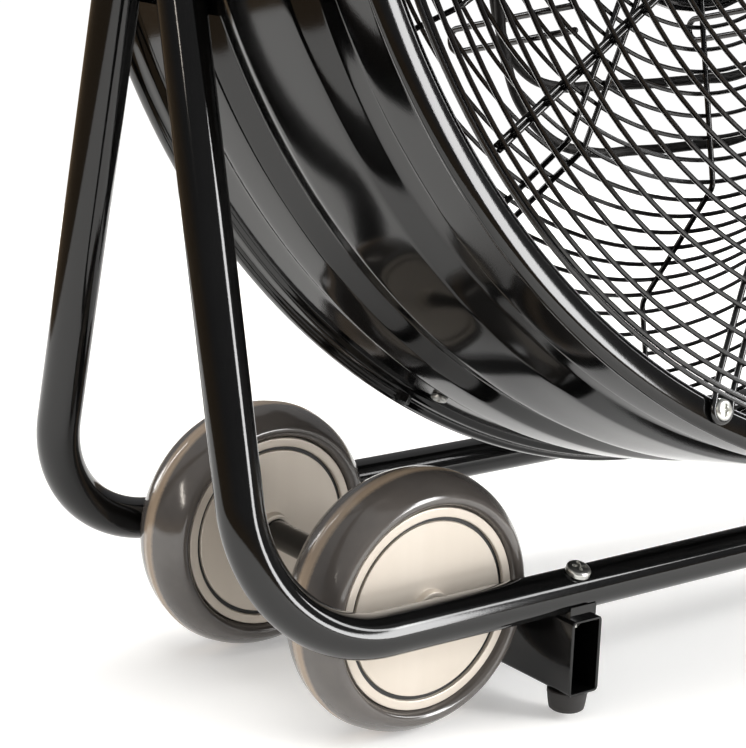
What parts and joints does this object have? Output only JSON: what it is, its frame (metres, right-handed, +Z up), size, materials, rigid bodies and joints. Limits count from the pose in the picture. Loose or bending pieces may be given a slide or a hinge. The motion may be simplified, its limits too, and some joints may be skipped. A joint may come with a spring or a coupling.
{
  "type": "wheeled drum fan",
  "caption": "Black steel drum fan tilting between A-shaped tube sides, with wire guards, two grey-tyred wheels at one end and rubber feet under cross bars.",
  "frame": {"origin": "centre of the bounding box on the floor, the power cord and its plug left out", "axes": "+X along the base rails away from the wheels, -Y out of the front guard, +Z up"},
  "size_m": [0.7252, 0.3705, 0.7656],
  "materials": {
    "black_enamel": "gloss black stove enamel on steel",
    "bright_zinc": "bright zinc-plated steel",
    "black_rubber": "matt black moulded rubber",
    "tyre_rubber": "semi-gloss dark warm grey solid tyre",
    "hub_plastic": "satin champagne beige moulding",
    "black_plastic": "fine-grained black moulding",
    "motor_paint": "satin black paint on a cast can",
    "ground_steel": "turned and ground steel",
    "blade_metal": "plain sheet aluminium"
  },
  "bodies": {
    "frame": {"front_rail": "black_enamel", "rear_rail": "black_enamel", "front_left_leg": "black_enamel", "front_right_leg": "black_enamel", "rear_left_leg": "black_enamel", "rear_right_leg": "black_enamel", "front_left_bend": "black_enamel", "front_right_bend": "black_enamel", "rear_left_bend": "black_enamel", "rear_right_bend": "black_enamel", "left_pivot_plate": "black_enamel", "right_pivot_plate": "black_enamel", "left_foot_bar": "black_enamel", "right_foot_bar": "black_enamel", "front_left_foot": "black_rubber", "rear_left_foot": "black_rubber", "front_right_foot": "black_rubber", "rear_right_foot": "black_rubber", "front_left_rail_screw": "bright_zinc", "rear_left_rail_screw": "bright_zinc", "front_right_rail_screw": "bright_zinc", "rear_right_rail_screw": "bright_zinc", "axle": "black_enamel"},
    "front_wheel": {"front_tyre": "tyre_rubber", "front_wheel_hub": "hub_plastic"},
    "rear_wheel": {"rear_tyre": "tyre_rubber", "rear_wheel_hub": "hub_plastic"},
    "drum": {"drum_shell": "black_enamel", "front_guard": "black_enamel", "rear_guard": "black_enamel", "front_guard_screw_1": "bright_zinc", "front_guard_screw_2": "bright_zinc", "front_guard_screw_3": "bright_zinc", "front_guard_screw_4": "bright_zinc", "rear_guard_screw_1": "bright_zinc", "rear_guard_screw_2": "bright_zinc", "rear_guard_screw_3": "bright_zinc", "rear_guard_screw_4": "bright_zinc", "left_pivot_spacer": "bright_zinc", "right_pivot_spacer": "bright_zinc", "left_pivot_bolt": "bright_zinc", "right_pivot_bolt": "bright_zinc", "motor_plate": "black_enamel", "motor_housing": "motor_paint", "motor_back_cover": "motor_paint", "switch_box": "black_plastic", "cord_gland": "black_plastic", "cord_hook_1": "black_enamel", "cord_hook_2": "black_enamel", "cord_hook_3": "black_enamel", "cord_hook_4": "black_enamel", "power_cord": "black_rubber", "plug": "black_plastic"},
    "rotor": {"fan_blades": "blade_metal", "fan_hub": "ground_steel", "motor_shaft": "ground_steel"},
    "left_knob": {"left_tilt_knob": "black_plastic"},
    "right_knob": {"right_tilt_knob": "black_plastic"},
    "speed_knob": {"speed_knob": "black_plastic"}
  },
  "joints": [
    {"name": "drum_tilt", "type": "hinge", "parent": "frame", "child": "drum", "pos_m": [0, -0.0138, 0.42], "axis": [-1, 0, 0], "range_deg": [-43, 77]},
    {"name": "fan_spin", "type": "hinge", "parent": "drum", "child": "rotor", "pos_m": [0, -0.0138, 0.42], "axis": [0, -0.9744, 0.225], "continuous": true},
    {"name": "front_wheel_spin", "type": "hinge", "parent": "frame", "child": "front_wheel", "pos_m": [-0.245, -0.0779, 0.0635], "axis": [0, 1, 0], "continuous": true},
    {"name": "rear_wheel_spin", "type": "hinge", "parent": "frame", "child": "rear_wheel", "pos_m": [-0.245, 0.0503, 0.0635], "axis": [0, 1, 0], "continuous": true},
    {"name": "left_knob_turn", "type": "hinge", "parent": "drum", "child": "left_knob", "pos_m": [-0.35, -0.0138, 0.42], "axis": [-1, 0, 0], "range_deg": [-180, 180]},
    {"name": "right_knob_turn", "type": "hinge", "parent": "drum", "child": "right_knob", "pos_m": [0.35, -0.0138, 0.42], "axis": [1, 0, 0], "range_deg": [-180, 180]},
    {"name": "speed_select", "type": "hinge", "parent": "drum", "child": "speed_knob", "pos_m": [0, -0.0138, 0.42], "axis": [0, 0.9744, -0.225], "range_deg": [0, 180]}
  ]
}
